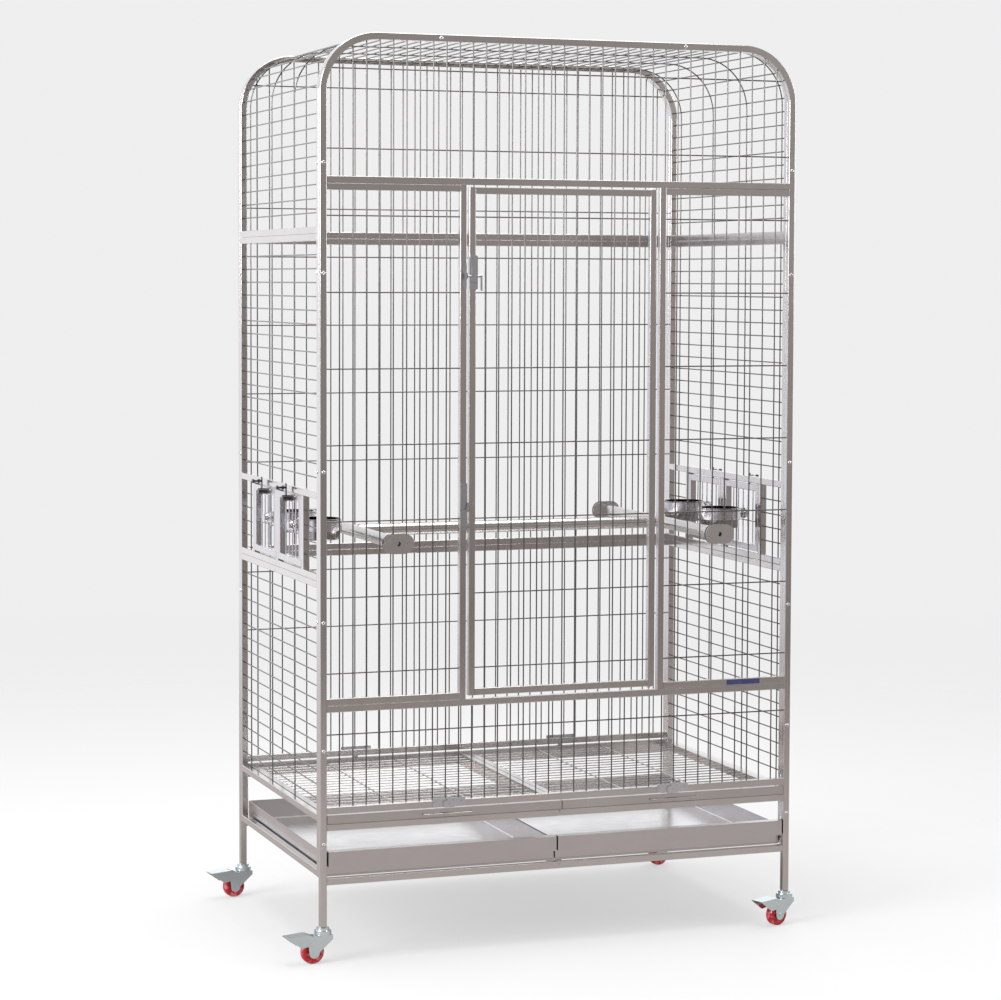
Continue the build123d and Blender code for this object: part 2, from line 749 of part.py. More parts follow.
def food_bowl(side, y):
    """Add a straight bowl with a rolled rim."""
    with BuildSketch(Plane.XZ) as profile:
        with BuildLine():
            inner = bowl_radius - bowl_wall
            low = bowl_top - bowl_height
            Polyline(
                (0, low),
                (bowl_radius - 3.0, low),
                (bowl_radius, low + 3.0),
                (bowl_radius, bowl_top - bowl_rim),
                (bowl_flange, bowl_top - bowl_rim),
                (bowl_flange, bowl_top),
                (inner, bowl_top),
                (inner, low + 4.0),
                (inner - 3.0, low + bowl_wall),
                (0, low + bowl_wall),
                close=True,
            )
        make_face()
    revolve(profile.sketch, axis=Axis.Z)


feeder_places = {
    "left_back": (-1, feeder_centres[1]),
    "left_front": (-1, feeder_centres[0]),
    "right_back": (1, feeder_centres[1]),
    "right_front": (1, feeder_centres[0]),
}
with BuildPart() as bowl_at_origin:
    food_bowl(1, 0)
for place, (side, y) in feeder_places.items():
    with BuildPart() as feeder:
        feeder_door(side, y)
    feeder.part.label = "feeder_door_" + place
    export_step(feeder.part, "parts/feeder_door_" + place + ".step")
    with BuildPart() as latch:
        feeder_latch(side, y)
    latch.part.label = "feeder_latch_" + place
    export_step(latch.part, "parts/feeder_latch_" + place + ".step")
    bowl = bowl_at_origin.part.moved(Location((side * bowl_x, y, 0)))
    bowl.label = "bowl_" + place
    export_step(bowl, "parts/bowl_" + place + ".step")

# ---------------------------------------------------------------- trays and grates
tray_low = lower_rail_low + tube + slide_gap


def tray(left, right):
    """Add one droppings tray: an open sheet pan with a deep hollow lip at the front."""
    back = half_depth - tray_setback
    front = -half_depth + tray_setback
    block((left, front, tray_low), (right, back, tray_low + tray_height))
    cut_low = (left + tray_wall, front + tray_wall, tray_low + tray_wall)
    cut_block(cut_low, (right - tray_wall, back - tray_wall, tray_low + tray_height + 1.0))
    block((left, -half_depth, tray_lip_low), (right, front + tray_wall, tray_lip_top))
    hollow_low = (left - 1.0, -half_depth + tray_wall, tray_lip_low + tray_wall)
    cut_block(hollow_low, (right + 1.0, front, tray_lip_top - tray_wall))


with BuildPart() as left_tray:
    tray(-tray_edge, tray_seam - tray_seam_gap / 2)

with BuildPart() as right_tray:
    tray(tray_seam + tray_seam_gap / 2, tray_edge)

grate_low = stand_rail_low + tube + slide_gap
grate_top = grate_low + grate_height
handle_x = 289.0
handle_length = 119.0
handle_rod = 4.0


def grate(left, right, handle):
    """Add one floor grate: a bar frame, cross wires, a few long bars and two pulls."""
    for low_y in (-half_depth, inner_y - tube):
        block((left, low_y, grate_low), (right, low_y + tube, grate_top))
    rail_low = -inner_y + weld_gap
    rail_high = inner_y - tube - weld_gap
    for low_x in (left, right - tube):
        block((low_x, rail_low, grate_low), (low_x + tube, rail_high, grate_top))
    bar_z = grate_top - wire
    rows = spread(-inner_y, inner_y - tube, grate_wire_pitch)
    wires_along_x([(y, bar_z - wire_layer) for y in rows], left + tube, right - tube)
    lines = spread(left + tube, right - tube, grate_bar_pitch)
    wires_along_y([(x, bar_z) for x in lines], -inner_y, inner_y - tube)
    handle_y = -half_depth - 5.0
    handle_z = grate_low + 8.0
    for end in (-1, 1):
        place = handle + end * handle_length / 2
        round_rod((place, -half_depth - weld_gap, handle_z), (place, handle_y, handle_z), 7.0)
    start = handle - handle_length / 2
    round_rod((start, handle_y, handle_z), (start + handle_length, handle_y, handle_z), handle_rod)


with BuildPart() as left_grate:
    grate(-inner_x + grate_side_gap, -grate_side_gap, -handle_x)

with BuildPart() as right_grate:
    grate(grate_side_gap, inner_x - grate_side_gap, handle_x)


def grate_lock(x, face):
    """Add one turn lock: a bar on the plate's stud with a thumb tab standing above it."""
    near = half_depth + weld_gap + lock_plate + running_gap
    plane = Plane(origin=(x, face * near, lock_z), x_dir=(1, 0, 0), z_dir=(0, face, 0))
    with BuildSketch(plane) as tab:
        RectangleRounded(lock_turn_length, lock_turn_height, 4.0)
        with Locations((0, (lock_turn_height + lock_thumb) / 2 - 2.0)):
            RectangleRounded(lock_thumb, lock_thumb, 3.0)
        Circle(lock_stud / 2 + running_gap, mode=Mode.SUBTRACT)
    extrude(tab.sketch, amount=5.0)


for name, x, face in (
    ("front_left", -lock_x, -1),
    ("front_right", lock_x, -1),
    ("back_left", -lock_x, 1),
    ("back_right", lock_x, 1),
):
    with BuildPart() as lock:
        grate_lock(x, face)
    lock.part.label = "grate_lock_" + name
    export_step(lock.part, "parts/grate_lock_" + name + ".step")

# ---------------------------------------------------------------- casters
caster_places = {
    "front_left": (-post_x, -post_y),
    "back_left": (-post_x, post_y),
    "front_right": (post_x, -post_y),
    "back_right": (post_x, post_y),
}
cup_low = fork_top + 1.0
head_low = fork_top - fork_plate - 3.3
with BuildPart() as caster_stems:
    for x, y in caster_places.values():
        round_rod((x, y, cup_low), (x, y, leg_bottom - cup_step), 2 * cup_radius)
        round_rod((x, y, leg_bottom - cup_step), (x, y, leg_bottom - weld_gap), 1.5 * cup_radius)
        round_rod((x, y, leg_bottom - 1.0), (x, y, leg_bottom + 45.0), stem)
        round_rod((x, y, head_low), (x, y, cup_low), king_pin)
        round_rod((x, y, head_low), (x, y, head_low + 3.0), king_pin + 6.0)

fork_outer = fork_inner + fork_plate
pedal_pivot = (-37.0, fork_top - 14.0)
pedal_pin = 5.0
pedal_tip = -95.0
with BuildPart() as fork:
    for side in (-1, 1):
        near = fork_inner if side > 0 else -fork_outer
        with BuildSketch(Plane.XZ.offset(-near - fork_plate)) as cheek:
            with BuildLine():
                Polyline(
                    (20.0, fork_top),
                    (20.0, fork_top - 10.0),
                    (-caster_trail + cheek_eye, wheel_radius),
                    (-caster_trail - cheek_eye, wheel_radius),
                    (pedal_pivot[0] - pivot_eye, pedal_pivot[1]),
                    (pedal_pivot[0] + 7.0, fork_top),
                    close=True,
                )
            make_face()
            with Locations((-caster_trail, wheel_radius)):
                Circle(cheek_eye)
            with Locations(pedal_pivot):
                Circle(pivot_eye)
        extrude(cheek.sketch, amount=fork_plate)
    block((-24.0, -fork_outer, fork_top - fork_plate), (20.0, fork_outer, fork_top))
    axle_end = fork_outer + 1.0
    round_rod((-caster_trail, -axle_end, wheel_radius), (-caster_trail, axle_end, wheel_radius), axle)
    for side in (-1, 1):
        inner = (pedal_pivot[0], side * (fork_outer - 1.0), pedal_pivot[1])
        outer = (pedal_pivot[0], side * (pedal_inner + pedal_plate + 1.0), pedal_pivot[1])
        round_rod(inner, outer, pedal_pin)
    with BuildSketch(Plane.XY.offset(fork_top - fork_plate - 1.0)) as hole:
        Circle(king_pin / 2 + running_gap)
    extrude(hole.sketch, amount=fork_plate + 2.0, mode=Mode.SUBTRACT)

with BuildPart() as wheel:
    with BuildSketch(Plane.XY) as section:
        with BuildLine():
            half = wheel_width / 2
            bore = axle / 2 + running_gap
            Polyline(
                (bore, -half),
                (9.0, -half),
                (10.0, -half + 1.0),
                (17.0, -half + 1.0),
                (18.0, -half),
                (wheel_radius - 3.0, -half),
                (wheel_radius - 1.0, -half + 1.5),
                (wheel_radius, -half + 5.0),
                (wheel_radius, half - 5.0),
                (wheel_radius - 1.0, half - 1.5),
                (wheel_radius - 3.0, half),
                (18.0, half),
                (17.0, half - 1.0),
                (10.0, half - 1.0),
                (9.0, half),
                (bore, half),
                close=True,
            )
        make_face()
    revolve(section.sketch, axis=Axis.Y)

pedal_outer = pedal_inner + pedal_plate
with BuildPart() as pedal:
    for side in (-1, 1):
        near = pedal_inner if side > 0 else -pedal_outer
        with BuildSketch(Plane.XZ.offset(-near - pedal_plate)) as flange:
            with BuildLine():
                Polyline(
                    (-29.0, fork_top + 1.0),
                    (-29.0, fork_top - 15.0),
                    (-36.0, fork_top - 20.0),
                    (-60.0, fork_top - 24.0),
                    (pedal_tip, fork_top + 1.5),
                    (pedal_tip, fork_top + 3.5),
                    (-42.0, fork_top + 6.0),
                    close=True,
                )
            make_face()
            with Locations(pedal_pivot):
                Circle(pedal_pin / 2 + running_gap, mode=Mode.SUBTRACT)
        extrude(flange.sketch, amount=pedal_plate)
        rivet_x, rivet_z = -62.0, fork_top - 13.0
        rivet_end = (rivet_x, side * (pedal_outer + 1.0), rivet_z)
        round_rod((rivet_x, side * pedal_outer, rivet_z), rivet_end, pedal_pin)
    with BuildSketch(Plane.XZ.offset(-pedal_outer)) as tread:
        with BuildLine():
            Polyline(
                (pedal_tip, fork_top + 3.5),
                (pedal_tip, fork_top + 1.5),
                (-42.0, fork_top + 4.0),
                (-42.0, fork_top + 6.0),
                close=True,
            )
        make_face()
    extrude(tread.sketch, amount=2 * pedal_outer)

wheel_place = (-caster_trail, 0, wheel_radius)
for corner, (x, y) in caster_places.items():
    turned = Location((x, y, 0), (0, 0, caster_turns[corner]))
    turned_fork = fork.part.moved(turned)
    turned_fork.label = "caster_fork_" + corner
    export_step(turned_fork, "parts/caster_fork_" + corner + ".step")
    turned_wheel = wheel.part.moved(turned * Location(wheel_place))
    turned_wheel.label = "caster_wheel_" + corner
    export_step(turned_wheel, "parts/caster_wheel_" + corner + ".step")
    turned_pedal = pedal.part.moved(turned)
    turned_pedal.label = "brake_pedal_" + corner
    export_step(turned_pedal, "parts/brake_pedal_" + corner + ".step")

# ---------------------------------------------------------------- write the fixed and front pieces
front_arch_hoop.part.label = "front_arch_hoop"
export_step(front_arch_hoop.part, "parts/front_arch_hoop.step")
back_arch_hoop.part.label = "back_arch_hoop"
export_step(back_arch_hoop.part, "parts/back_arch_hoop.step")
roof_hoops.part.label = "roof_hoops"
export_step(roof_hoops.part, "parts/roof_hoops.step")
top_rails.part.label = "top_rails"
export_step(top_rails.part, "parts/top_rails.step")
front_fixed_frames.part.label = "front_fixed_frames"
export_step(front_fixed_frames.part, "parts/front_fixed_frames.step")
front_lower_frame.part.label = "front_lower_frame"
export_step(front_lower_frame.part, "parts/front_lower_frame.step")
back_frame.part.label = "back_frame"
export_step(back_frame.part, "parts/back_frame.step")
centre_rails.part.label = "centre_rails"
export_step(centre_rails.part, "parts/centre_rails.step")
left_frame.part.label = "left_frame"
export_step(left_frame.part, "parts/left_frame.step")
right_frame.part.label = "right_frame"
export_step(right_frame.part, "parts/right_frame.step")
front_mesh.part.label = "front_mesh"
export_step(front_mesh.part, "parts/front_mesh.step")
back_mesh.part.label = "back_mesh"
export_step(back_mesh.part, "parts/back_mesh.step")
left_mesh.part.label = "left_mesh"
export_step(left_mesh.part, "parts/left_mesh.step")
right_mesh.part.label = "right_mesh"
export_step(right_mesh.part, "parts/right_mesh.step")
roof_long_wires.part.label = "roof_long_wires"
export_step(roof_long_wires.part, "parts/roof_long_wires.step")
roof_hoop_wires.part.label = "roof_hoop_wires"
export_step(roof_hoop_wires.part, "parts/roof_hoop_wires.step")
perch_tubes.part.label = "perch_tubes"
export_step(perch_tubes.part, "parts/perch_tubes.step")
perch_clamps.part.label = "perch_clamps"
export_step(perch_clamps.part, "parts/perch_clamps.step")
frame_screws.part.label = "frame_screws"
export_step(frame_screws.part, "parts/frame_screws.step")
door_frame.part.label = "door_frame"
export_step(door_frame.part, "parts/door_frame.step")
door_mesh.part.label = "door_mesh"
export_step(door_mesh.part, "parts/door_mesh.step")
hinge_pins.part.label = "hinge_pins"
export_step(hinge_pins.part, "parts/hinge_pins.step")
door_latch_body.part.label = "door_latch_body"
export_step(door_latch_body.part, "parts/door_latch_body.step")
door_latch_bolt.part.label = "door_latch_bolt"
export_step(door_latch_bolt.part, "parts/door_latch_bolt.step")
latch_plates.part.label = "latch_plates"
export_step(latch_plates.part, "parts/latch_plates.step")
lower_latch_hook.part.label = "lower_latch_hook"
export_step(lower_latch_hook.part, "parts/lower_latch_hook.step")
name_plate.part.label = "name_plate"
export_step(name_plate.part, "parts/name_plate.step")
left_tray.part.label = "left_tray"
export_step(left_tray.part, "parts/left_tray.step")
right_tray.part.label = "right_tray"
export_step(right_tray.part, "parts/right_tray.step")
left_grate.part.label = "left_grate"
export_step(left_grate.part, "parts/left_grate.step")
right_grate.part.label = "right_grate"
export_step(right_grate.part, "parts/right_grate.step")
caster_stems.part.label = "caster_stems"
export_step(caster_stems.part, "parts/caster_stems.step")
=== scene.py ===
# %% [markdown]
# # A large stainless parrot cage
# The CAD model already has every tube, wire, hinge and caster at its real size.  Blender's work here is the
# looks: steel that reads as steel, screws with shaped heads, and a plain studio around the cage.  Blender
# could model the whole cage again, but then two models would have to agree, so this scene loads the CAD
# model as a fixed frame and only dresses it.

# %% Load the frame
import json
import math

import bmesh
import bpy
from mathutils import Matrix, Vector


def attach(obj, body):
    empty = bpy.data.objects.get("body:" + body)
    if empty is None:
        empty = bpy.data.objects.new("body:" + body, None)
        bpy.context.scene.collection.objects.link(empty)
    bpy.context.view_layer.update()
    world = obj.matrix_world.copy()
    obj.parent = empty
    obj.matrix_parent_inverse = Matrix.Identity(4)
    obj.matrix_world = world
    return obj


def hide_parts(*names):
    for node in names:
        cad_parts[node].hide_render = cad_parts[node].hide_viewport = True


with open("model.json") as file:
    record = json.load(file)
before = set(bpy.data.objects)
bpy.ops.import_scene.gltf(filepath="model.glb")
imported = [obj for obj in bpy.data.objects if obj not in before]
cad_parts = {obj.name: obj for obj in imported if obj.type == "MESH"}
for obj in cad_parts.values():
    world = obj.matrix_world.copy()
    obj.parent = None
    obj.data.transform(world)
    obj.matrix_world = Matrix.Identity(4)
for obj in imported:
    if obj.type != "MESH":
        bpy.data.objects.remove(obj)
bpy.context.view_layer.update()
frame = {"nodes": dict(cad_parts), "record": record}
nodes = frame["nodes"]

# %% [markdown]
# ## The camera
# A long lens far away keeps the cage's uprights almost parallel.  A small downward shift of the film plane
# keeps them parallel too, but any other view keeps that shift, so most of the framing comes from a slight
# downward tilt instead.  The Standard view transform leaves pale colours pale; the default one would grey
# them.

# %% Camera
IMAGE_WIDTH = 1001
FILM_WIDTH = 36.0
# The focal length, on the scale where the image is IMAGE_WIDTH wide.
FOCAL_LENGTH = 2734.8
CAMERA_PLACE = (-2.3453, -6.4065, 1.5817)
TURN_RIGHT, TILT_DOWN, ROLL = math.radians(19.917), math.radians(3.328), math.radians(0.198)
FILM_SHIFT = -0.06
FAR_CLIP = 100.0
camera_data = bpy.data.cameras.new("camera")
camera = bpy.data.objects.new("camera", camera_data)
bpy.context.scene.collection.objects.link(camera)
bpy.context.scene.camera = camera
camera.location = CAMERA_PLACE
aim = Matrix.Rotation(-TURN_RIGHT, 4, "Z") @ Matrix.Rotation(math.pi / 2 - TILT_DOWN, 4, "X")
camera.rotation_euler = (aim @ Matrix.Rotation(ROLL, 4, "Z")).to_euler()
camera_data.sensor_width = FILM_WIDTH
camera_data.lens = FOCAL_LENGTH * FILM_WIDTH / IMAGE_WIDTH
camera_data.shift_y = FILM_SHIFT
camera_data.clip_end = FAR_CLIP
bpy.context.scene.view_settings.view_transform = "Standard"
print("lens", round(camera_data.lens, 1), "mm")

# %% [markdown]
# ## Shader maths that reads like maths
# A node tree can be built one node and one link at a time, which buries the idea under wiring.  Here a
# small class wraps a socket and overloads the arithmetic operators, so that `0.3 + 0.2 * grain` adds its
# own Math nodes.  Everything that isn't plain arithmetic comes from one method, `node`.


# %% A socket with arithmetic
class Signal:
    """One output socket of a material, usable in ordinary sums."""

    def __init__(self, finish, socket):
        self.finish, self.socket = finish, socket

    def math(self, operation, *values, clamp=False):
        settings = {"operation": operation, "use_clamp": clamp}
        return self.finish.node("Math", settings, dict(enumerate(values)))

    def __add__(self, other):
        return self.math("ADD", self, other)

    def __sub__(self, other):
        return self.math("SUBTRACT", self, other)

    def __rsub__(self, other):
        return self.math("SUBTRACT", other, self)

    def __mul__(self, other):
        return self.math("MULTIPLY", self, other)

    def __truediv__(self, other):
        return self.math("DIVIDE", self, other)

    def above(self, edge, blur):
        """0 below the edge, 1 above it, with a soft step between."""
        return self.math("ADD", (self - edge) / blur, 0.5, clamp=True)

    __radd__ = __add__
    __rmul__ = __mul__


# %% A node tree under construction
class Tree:
    """Adds nodes to a tree and joins them up."""

    def __init__(self, owner):
        self.owner = owner
        owner.use_nodes = True
        self.tree = owner.node_tree
        self.tree.nodes.clear()

    def node(self, kind, settings, sockets, output=0):
        made = self.tree.nodes.new("ShaderNode" + kind)
        for key, value in settings.items():
            setattr(made, key, value)
        for key, value in sockets.items():
            if isinstance(value, Signal):
                self.tree.links.new(value.socket, made.inputs[key])
            else:
                made.inputs[key].default_value = value
        return Signal(self, made.outputs[output])

    def end(self, kind, surface):
        """Join the last shader to the tree's output."""
        output = self.tree.nodes.new("ShaderNodeOutput" + kind)
        self.tree.links.new(surface.socket, output.inputs["Surface"])
        return self.owner

    def mix(self, factor, first, second):
        """A colour between two colours."""
        return self.node("Mix", {"data_type": "RGBA"}, {0: factor, 6: first, 7: second}, 2)


NOISE_ROUGHNESS = 0.55


class Finish(Tree):
    """A material made of one Principled surface."""

    def __init__(self, name):
        super().__init__(bpy.data.materials.new(name))

    def place(self):
        """Where a point is on the piece, in metres; it travels with the piece."""
        return self.node("TexCoord", {}, {}, "Object")

    def noise(self, scale, stretch=(1, 1, 1), detail=3.0):
        where = self.node("Mapping", {}, {"Vector": self.place(), "Scale": stretch})
        sockets = {"Vector": where, "Scale": scale, "Detail": detail, "Roughness": NOISE_ROUGHNESS}
        return self.node("TexNoise", {}, sockets)

    def axis(self, name):
        """One coordinate of the place."""
        return self.node("SeparateXYZ", {}, {"Vector": self.place()}, name)

    def bump(self, height, strength, distance):
        return self.node("Bump", {}, {"Height": height, "Strength": strength, "Distance": distance})

    def shade(self, **sockets):
        """Finish with the surface; its sockets are named with underscores for spaces."""
        named = {key.replace("_", " "): value for key, value in sockets.items()}
        return self.end("Material", self.node("BsdfPrincipled", {}, named))


def colour(r, g, b):
    return (r, g, b, 1.0)


# %% [markdown]
# ## Stainless steel
# Metal has almost no colour of its own: it shows the room, blurred by its surface.  A flat grey would look
# like plastic, so the work goes into roughness, which varies with clouds, smudges and fine marks, and into
# a faint bump of the same marks.  The base colour only drifts between a darker and a lighter grey.  Wires
# get a much darker grey than tubes, a painted shade that gives them dark cores, and the trays' floors get
# a paler one than their walls, painted light where they face up to the lamps.


# %% Steel
CLOUD_SCALE, CLOUD_STRETCH = 7.0, (1, 1, 0.35)
SMUDGE_SCALE, SMUDGE_STRETCH = 31.0, (1, 1, 0.5)
MARK_SCALE = 420.0
CLOUD_SHARE, MARK_SHARE = 0.7, 0.3
BUMP_STRENGTH, BUMP_DEPTH = 0.03, 0.0004
# The trays' floors end just below this height, where their walls begin.
TRAY_FLOOR_TOP = 0.2
FLOOR_EDGE = 0.001
# Painted light: the trays' floors are the walls' steel, painted paler where they face up.
PAINTED_LIT_FLOOR = colour(0.92, 0.92, 0.93)


def steel(name, dark, light, rough, spread, grain=(1, 1, 1), painted_light_below=None):
    """A brushed metal whose tone and roughness drift around the values given."""
    f = Finish(name)
    clouds = f.noise(CLOUD_SCALE, CLOUD_STRETCH)
    marks = f.noise(MARK_SCALE, grain, detail=4.0)
    smudge = f.noise(SMUDGE_SCALE, SMUDGE_STRETCH, detail=2.0)
    tone = f.mix(clouds * CLOUD_SHARE + marks * MARK_SHARE, dark, light)
    # Below that height the tone is painted pale: painted light on the trays' upward-facing floors.
    if painted_light_below is not None:
        tone = f.mix(f.axis("Z").above(painted_light_below, FLOOR_EDGE), PAINTED_LIT_FLOOR, tone)
    roughness = rough + spread * (clouds - 0.5) + spread * (smudge - 0.5) + 0.5 * spread * (marks - 0.5)
    return f.shade(
        Base_Color=tone, Metallic=1.0, Roughness=roughness, Normal=f.bump(marks, BUMP_STRENGTH, BUMP_DEPTH)
    )


tube_steel = steel(
    "tube_steel", colour(0.50, 0.48, 0.47), colour(0.68, 0.66, 0.65), 0.17, 0.10, (0.6, 0.6, 0.6)
)
# The wires are the same steel as the tubes, painted much darker: painted shade for their dark cores.
wire_steel = steel("wire_steel", colour(0.10, 0.095, 0.09), colour(0.20, 0.195, 0.19), 0.20, 0.10)
perch_steel = steel(
    "perch_steel", colour(0.46, 0.45, 0.44), colour(0.64, 0.62, 0.61), 0.20, 0.10, (1, 0.1, 1)
)
plate_steel = steel(
    "plate_steel", colour(0.60, 0.59, 0.59), colour(0.76, 0.75, 0.75), 0.18, 0.08, (0.2, 1, 1)
)
tray_steel = steel(
    "tray_steel", colour(0.50, 0.48, 0.48), colour(0.64, 0.62, 0.62), 0.22, 0.10, (0.05, 1, 1), TRAY_FLOOR_TOP
)
grate_steel = steel("grate_steel", colour(0.46, 0.44, 0.43), colour(0.64, 0.62, 0.61), 0.24, 0.10)
feeder_steel = steel("feeder_steel", colour(0.46, 0.45, 0.46), colour(0.66, 0.65, 0.66), 0.20, 0.10)
bowl_steel = steel("bowl_steel", colour(0.26, 0.24, 0.23), colour(0.46, 0.44, 0.43), 0.10, 0.06, (1, 1, 0.1))
latch_steel = steel("latch_steel", colour(0.50, 0.52, 0.55), colour(0.72, 0.74, 0.78), 0.20, 0.10)
screw_steel = steel("screw_steel", colour(0.50, 0.49, 0.49), colour(0.74, 0.74, 0.75), 0.14, 0.06)
zinc_blue = steel("zinc_blue", colour(0.56, 0.68, 0.72), colour(0.84, 0.92, 0.94), 0.20, 0.12)
dark_metal = steel("dark_metal", colour(0.05, 0.045, 0.045), colour(0.12, 0.11, 0.11), 0.30, 0.12)
print("metals", sorted(m.name for m in bpy.data.materials))

# %% [markdown]
# ## Red wheels and a blue plate
# The wheels are clear red plastic: light goes into them, so part of the surface transmits.  Fully clear
# wheels would lose their colour against the pale floor, so less than half of it does.  The plate is enamel,
# a dark blue under a thin clear coat, and has no mark on it.


# %% Wheels and the name plate
PATCH_SCALE, PATCH_EDGE, PATCH_BLUR = 90.0, 0.56, 0.16
ENAMEL_SCALE = 40.0


def clear_red():
    """Red plastic with paler patches, as if some light came through it."""
    f = Finish("clear_red")
    patches = f.noise(PATCH_SCALE, detail=1.0).above(PATCH_EDGE, PATCH_BLUR)
    tone = f.mix(patches, colour(0.62, 0.02, 0.03), colour(0.92, 0.30, 0.32))
    rough = 0.10 + 0.10 * patches
    return f.shade(Base_Color=tone, Roughness=rough, IOR=1.47, Transmission_Weight=0.45)


def blue_enamel():
    """Dark blue enamel under a clear coat."""
    f = Finish("blue_enamel")
    clouds = f.noise(ENAMEL_SCALE)
    tone = f.mix(clouds, colour(0.025, 0.03, 0.10), colour(0.05, 0.06, 0.19))
    return f.shade(Base_Color=tone, Roughness=0.22 + 0.1 * clouds, Coat_Weight=0.5)


wheel_red = clear_red()
name_blue = blue_enamel()
print("wheels", wheel_red.name, "plate", name_blue.name)

# %% [markdown]
# ## Dressing the CAD nodes
# Each CAD node names a material slot in the record.  A finish could be set node by node, but one table from
# slot to finish is shorter, and equal pieces can't end up with different looks.

# %% Give every CAD node its finish
finishes = {
    "frame_tube": tube_steel,
    "wire": wire_steel,
    "perch": perch_steel,
    "clamp_plate": plate_steel,
    "screw": screw_steel,
    "latch_metal": latch_steel,
    "latch_dark": dark_metal,
    "name_plate": name_blue,
    "tray_sheet": tray_steel,
    "grate": grate_steel,
    "feeder_steel": feeder_steel,
    "bowl": bowl_steel,
    "caster_zinc": zinc_blue,
    "caster_wheel": wheel_red,
}
slot_of = {entry["node"]: entry["material_slot"] for entry in frame["record"]["subparts"]}
for name, obj in nodes.items():
    for place in obj.material_slots:
        place.material = finishes[slot_of[name]]
print(len(nodes), "nodes dressed in", len(set(slot_of.values())), "finishes")

# %% [markdown]
# ## Screw heads
# In the CAD every frame screw is a plain cylinder.  A list of places could be typed in here, but the places
# are read from that node, so a head can't drift from its cylinder: each loose part of the node's mesh gives
# one middle and one facing.


# %% Find the screws
SAME_POINT = 1e-5


def loose_parts(mesh):
    """The corner points of every separate part of a mesh."""
    net = bmesh.new()
    net.from_mesh(mesh)
    bmesh.ops.remove_doubles(net, verts=net.verts, dist=SAME_POINT)
    waiting = set(net.verts)
    parts = []
    while waiting:
        front = [waiting.pop()]
        part = []
        while front:
            vert = front.pop()
            part.append(vert.co.copy())
            for edge in vert.link_edges:
                other = edge.other_vert(vert)
                if other in waiting:
                    waiting.remove(other)
                    front.append(other)
        parts.append(part)
    net.free()
    return parts


screws = loose_parts(nodes["frame_screws"].data)
print(len(screws), "screws")

# %% [markdown]
# ## The shape of a head
# The heads are taken to be low domes on thin washers, with a cross pressed into them.  Cutting a cross with
# a boolean would leave ragged faces on so small a dome, so the head is turned from a profile, and the
# points of its inner rings that lie on the cross are pressed down.


# %% Screws with a washer and a pressed cross
MM = 1000
# Each ring's radius and height in mm, from the washer's foot to the top of the dome.
WASHER = [(5.6, 0.0), (5.6, 0.4), (4.6, 0.4)]
DOME = [(4.45, 0.9), (4.0, 1.5), (3.2, 1.95), (2.4, 2.2), (1.6, 2.35), (0.8, 2.4)]
RING_STEPS = 32
CROSS_REACH, CROSS_HALF_WIDTH, CROSS_DEPTH = 2.6, 0.52, 0.8
SHARP_ANGLE = math.radians(35)
TURN_EACH = 0.4


def screw_mesh():
    """A domed head on a thin washer, with a cross pressed into it.  It points along +Z."""
    net = bmesh.new()
    rings = []
    for radius, height in WASHER + DOME:
        ring = []
        for step in range(RING_STEPS):
            angle = 2 * math.pi * step / RING_STEPS
            x, y = radius * math.cos(angle), radius * math.sin(angle)
            on_cross = radius < CROSS_REACH and min(abs(x), abs(y)) < CROSS_HALF_WIDTH
            pressed = CROSS_DEPTH if on_cross else 0.0
            ring.append(net.verts.new((x / MM, y / MM, (height - pressed) / MM)))
        rings.append(ring)
    for low, high in zip(rings, rings[1:]):
        for step in range(RING_STEPS):
            after = (step + 1) % RING_STEPS
            net.faces.new((low[step], low[after], high[after], high[step]))
    net.faces.new(rings[-1])
    for face in net.faces:
        face.smooth = True
    mesh = bpy.data.meshes.new("screw_head")
    net.to_mesh(mesh)
    net.free()
    mesh.set_sharp_from_angle(angle=SHARP_ANGLE)
    mesh.materials.append(screw_steel)
    return mesh


def outward(middle, size):
    """The way a head faces: away from the cage, along its cylinder, which is its shortest side."""
    if size.y < size.x:
        return Vector((0, math.copysign(1, middle.y), 0))
    return Vector((math.copysign(1, middle.x), 0, 0))


head_mesh = screw_mesh()
for index, part in enumerate(screws):
    low = Vector([min(point[axis] for point in part) for axis in range(3)])
    high = Vector([max(point[axis] for point in part) for axis in range(3)])
    middle, size = (low + high) / 2, high - low
    facing = outward(middle, size)
    head = bpy.data.objects.new(f"screw_{index:02d}", head_mesh)
    bpy.context.scene.collection.objects.link(head)
    under = middle - facing * min(size) / 2
    stand = facing.to_track_quat("Z", "Y").to_matrix().to_4x4()
    head.matrix_world = Matrix.Translation(under) @ stand @ Matrix.Rotation(TURN_EACH * index, 4, "Z")
    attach(head, "frame")
    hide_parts("frame_screws")

# %% [markdown]
# ## The studio
# A steel cage is a set of mirrors, so the room matters more than the lamps.  Lamps alone would leave black
# tubes with a few bright lines.  So each direction of the world gets its own brightness: a white wall
# behind, a pale lavender wall on the left, a dim warm room in front, and one dark band all the way round,
# high up.  Camera rays see a plain pale grey instead, so the cage stands on a seamless pale page.


# %% The floor
PAGE = colour(0.86, 0.86, 0.865)
FLOOR_RADIUS = 9.0
FLOOR_SIDES = 96
FADE_MIDDLE, FADE_WIDTH = 4.2, 5.0
FLOOR_ROUGHNESS = 0.8


def floor_surface(f, base, glow, strength, fade):
    """One of the floor's two surfaces: a dull sheet that glows a little and fades with distance."""
    sockets = {"Base Color": base, "Emission Color": glow, "Emission Strength": strength}
    return f.node("BsdfPrincipled", {}, {**sockets, "Roughness": FLOOR_ROUGHNESS, "Alpha": fade})


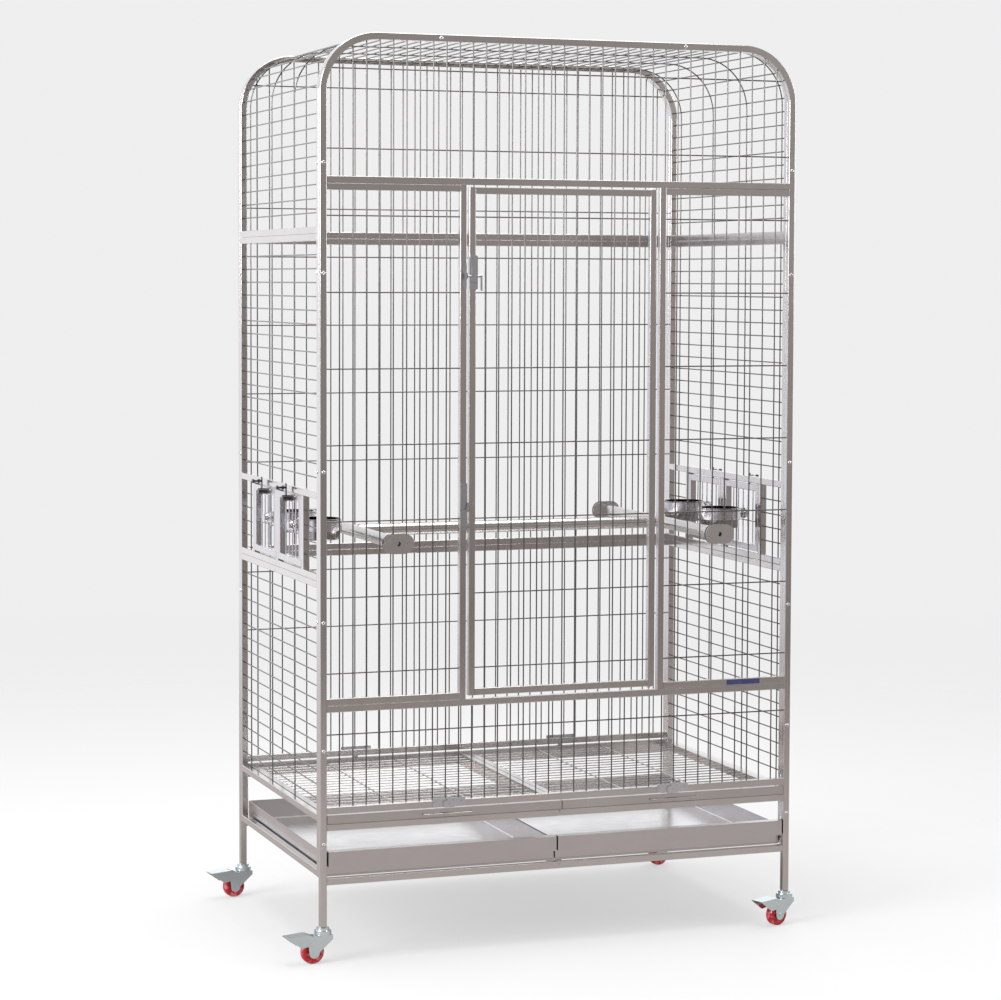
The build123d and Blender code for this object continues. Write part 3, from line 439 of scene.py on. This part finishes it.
def floor_finish():
    """A pale page for the camera; the steel sees a dimmer, warmer floor, as in a large dark room."""
    f = Finish("studio_floor")
    away = f.node("VectorMath", {"operation": "LENGTH"}, {0: f.place()}, "Value")
    fade = 1.0 - away.above(FADE_MIDDLE, FADE_WIDTH)
    pale = floor_surface(f, colour(0.24, 0.24, 0.24), PAGE, 0.60, fade)
    dim = floor_surface(f, colour(0.26, 0.24, 0.23), colour(0.30, 0.27, 0.25), 0.35, fade)
    seen = f.node("LightPath", {}, {}, "Is Camera Ray")
    return f.end("Material", f.node("MixShader", {}, {0: seen, 1: dim, 2: pale}))


floor_mesh = bpy.data.meshes.new("studio_floor")
floor = bpy.data.objects.new("studio_floor", floor_mesh)
bpy.context.scene.collection.objects.link(floor)
disc = bmesh.new()
bmesh.ops.create_circle(disc, cap_ends=True, segments=FLOOR_SIDES, radius=FLOOR_RADIUS)
disc.to_mesh(floor_mesh)
disc.free()
floor_mesh.materials.append(floor_finish())
print("floor", 2 * FLOOR_RADIUS, "m across")

# %% [markdown]
# ## The room that the steel shows
# One picture wrapped round the scene would be quicker, but this room is a few smooth steps along three
# directions, each of which can be moved or recoloured by itself.  The colours are light, not paint, so they
# may go above one.

# %% World
LOW_BROWN = colour(0.20, 0.165, 0.15)
MIDDLE_GREY = colour(0.46, 0.43, 0.42)
LEFT_BROWN = colour(0.27, 0.235, 0.22)
HIGH_GREY = colour(0.75, 0.73, 0.72)
BACK_WHITE = colour(1.15, 1.15, 1.17)
LEFT_LAVENDER = colour(1.02, 1.01, 1.16)
BEAM_BLACK = colour(0.06, 0.055, 0.05)
BEAM_LOW, BEAM_HIGH, BEAM_BLUR = 0.50, 0.66, 0.08

world = bpy.data.worlds.new("studio")
bpy.context.scene.world = world
room = Tree(world)
direction = room.node("TexCoord", {}, {}, "Generated")
toward_right = room.node("SeparateXYZ", {}, {"Vector": direction}, "X")
toward_back = room.node("SeparateXYZ", {}, {"Vector": direction}, "Y")
upward = room.node("SeparateXYZ", {}, {"Vector": direction}, "Z")
low_front = room.mix(upward.above(-0.10, 0.16), LOW_BROWN, MIDDLE_GREY)
warm_front = room.mix(toward_right.above(0.2, 0.7), LEFT_BROWN, low_front)
front = room.mix(upward.above(0.45, 0.5), warm_front, HIGH_GREY)
walls = room.mix(toward_back.above(0.05, 0.35), front, BACK_WHITE)
walls = room.mix((0.0 - toward_right).above(0.55, 0.5), walls, LEFT_LAVENDER)
dark_beam = upward.above(BEAM_LOW, BEAM_BLUR) - upward.above(BEAM_HIGH, BEAM_BLUR)
walls = room.mix(dark_beam, walls, BEAM_BLACK)
lit = room.node("Background", {}, {"Color": walls, "Strength": 1.0})
page = room.node("Background", {}, {"Color": PAGE, "Strength": 1.0})
seen_directly = room.node("LightPath", {}, {}, "Is Camera Ray")
room.end("World", room.node("MixShader", {}, {0: seen_directly, 1: lit, 2: page}))
print("world", world.name, "has", len(room.tree.nodes), "nodes")

# %% [markdown]
# ## Lamps
# The room lights the cage by itself.  Three large square lamps add soft shadows under it and more light on
# the tubes that face them.  Small lamps would draw a hard shadow of every wire instead.


# %% Three soft boxes
def soft_box(name, place, aim_at, size, power):
    """A large square lamp, sized in metres and powered in watts, that faces a point."""
    data = bpy.data.lights.new(name, "AREA")
    data.shape, data.size, data.energy = "SQUARE", size, power
    lamp = bpy.data.objects.new(name, data)
    bpy.context.scene.collection.objects.link(lamp)
    lamp.location = place
    lamp.rotation_euler = (Vector(aim_at) - Vector(place)).to_track_quat("-Z", "Y").to_euler()


soft_box("left_box", place=(-5.0, -1.5, 3.0), aim_at=(0, 0, 1), size=3.0, power=350)
soft_box("top_box", place=(0, 0, 5.5), aim_at=(0, 0, 0), size=4.0, power=250)
soft_box("right_box", place=(4.5, -3.5, 2.5), aim_at=(0, 0, 1), size=2.0, power=80)
print("lamps", sorted(lamp.name for lamp in bpy.data.lights))
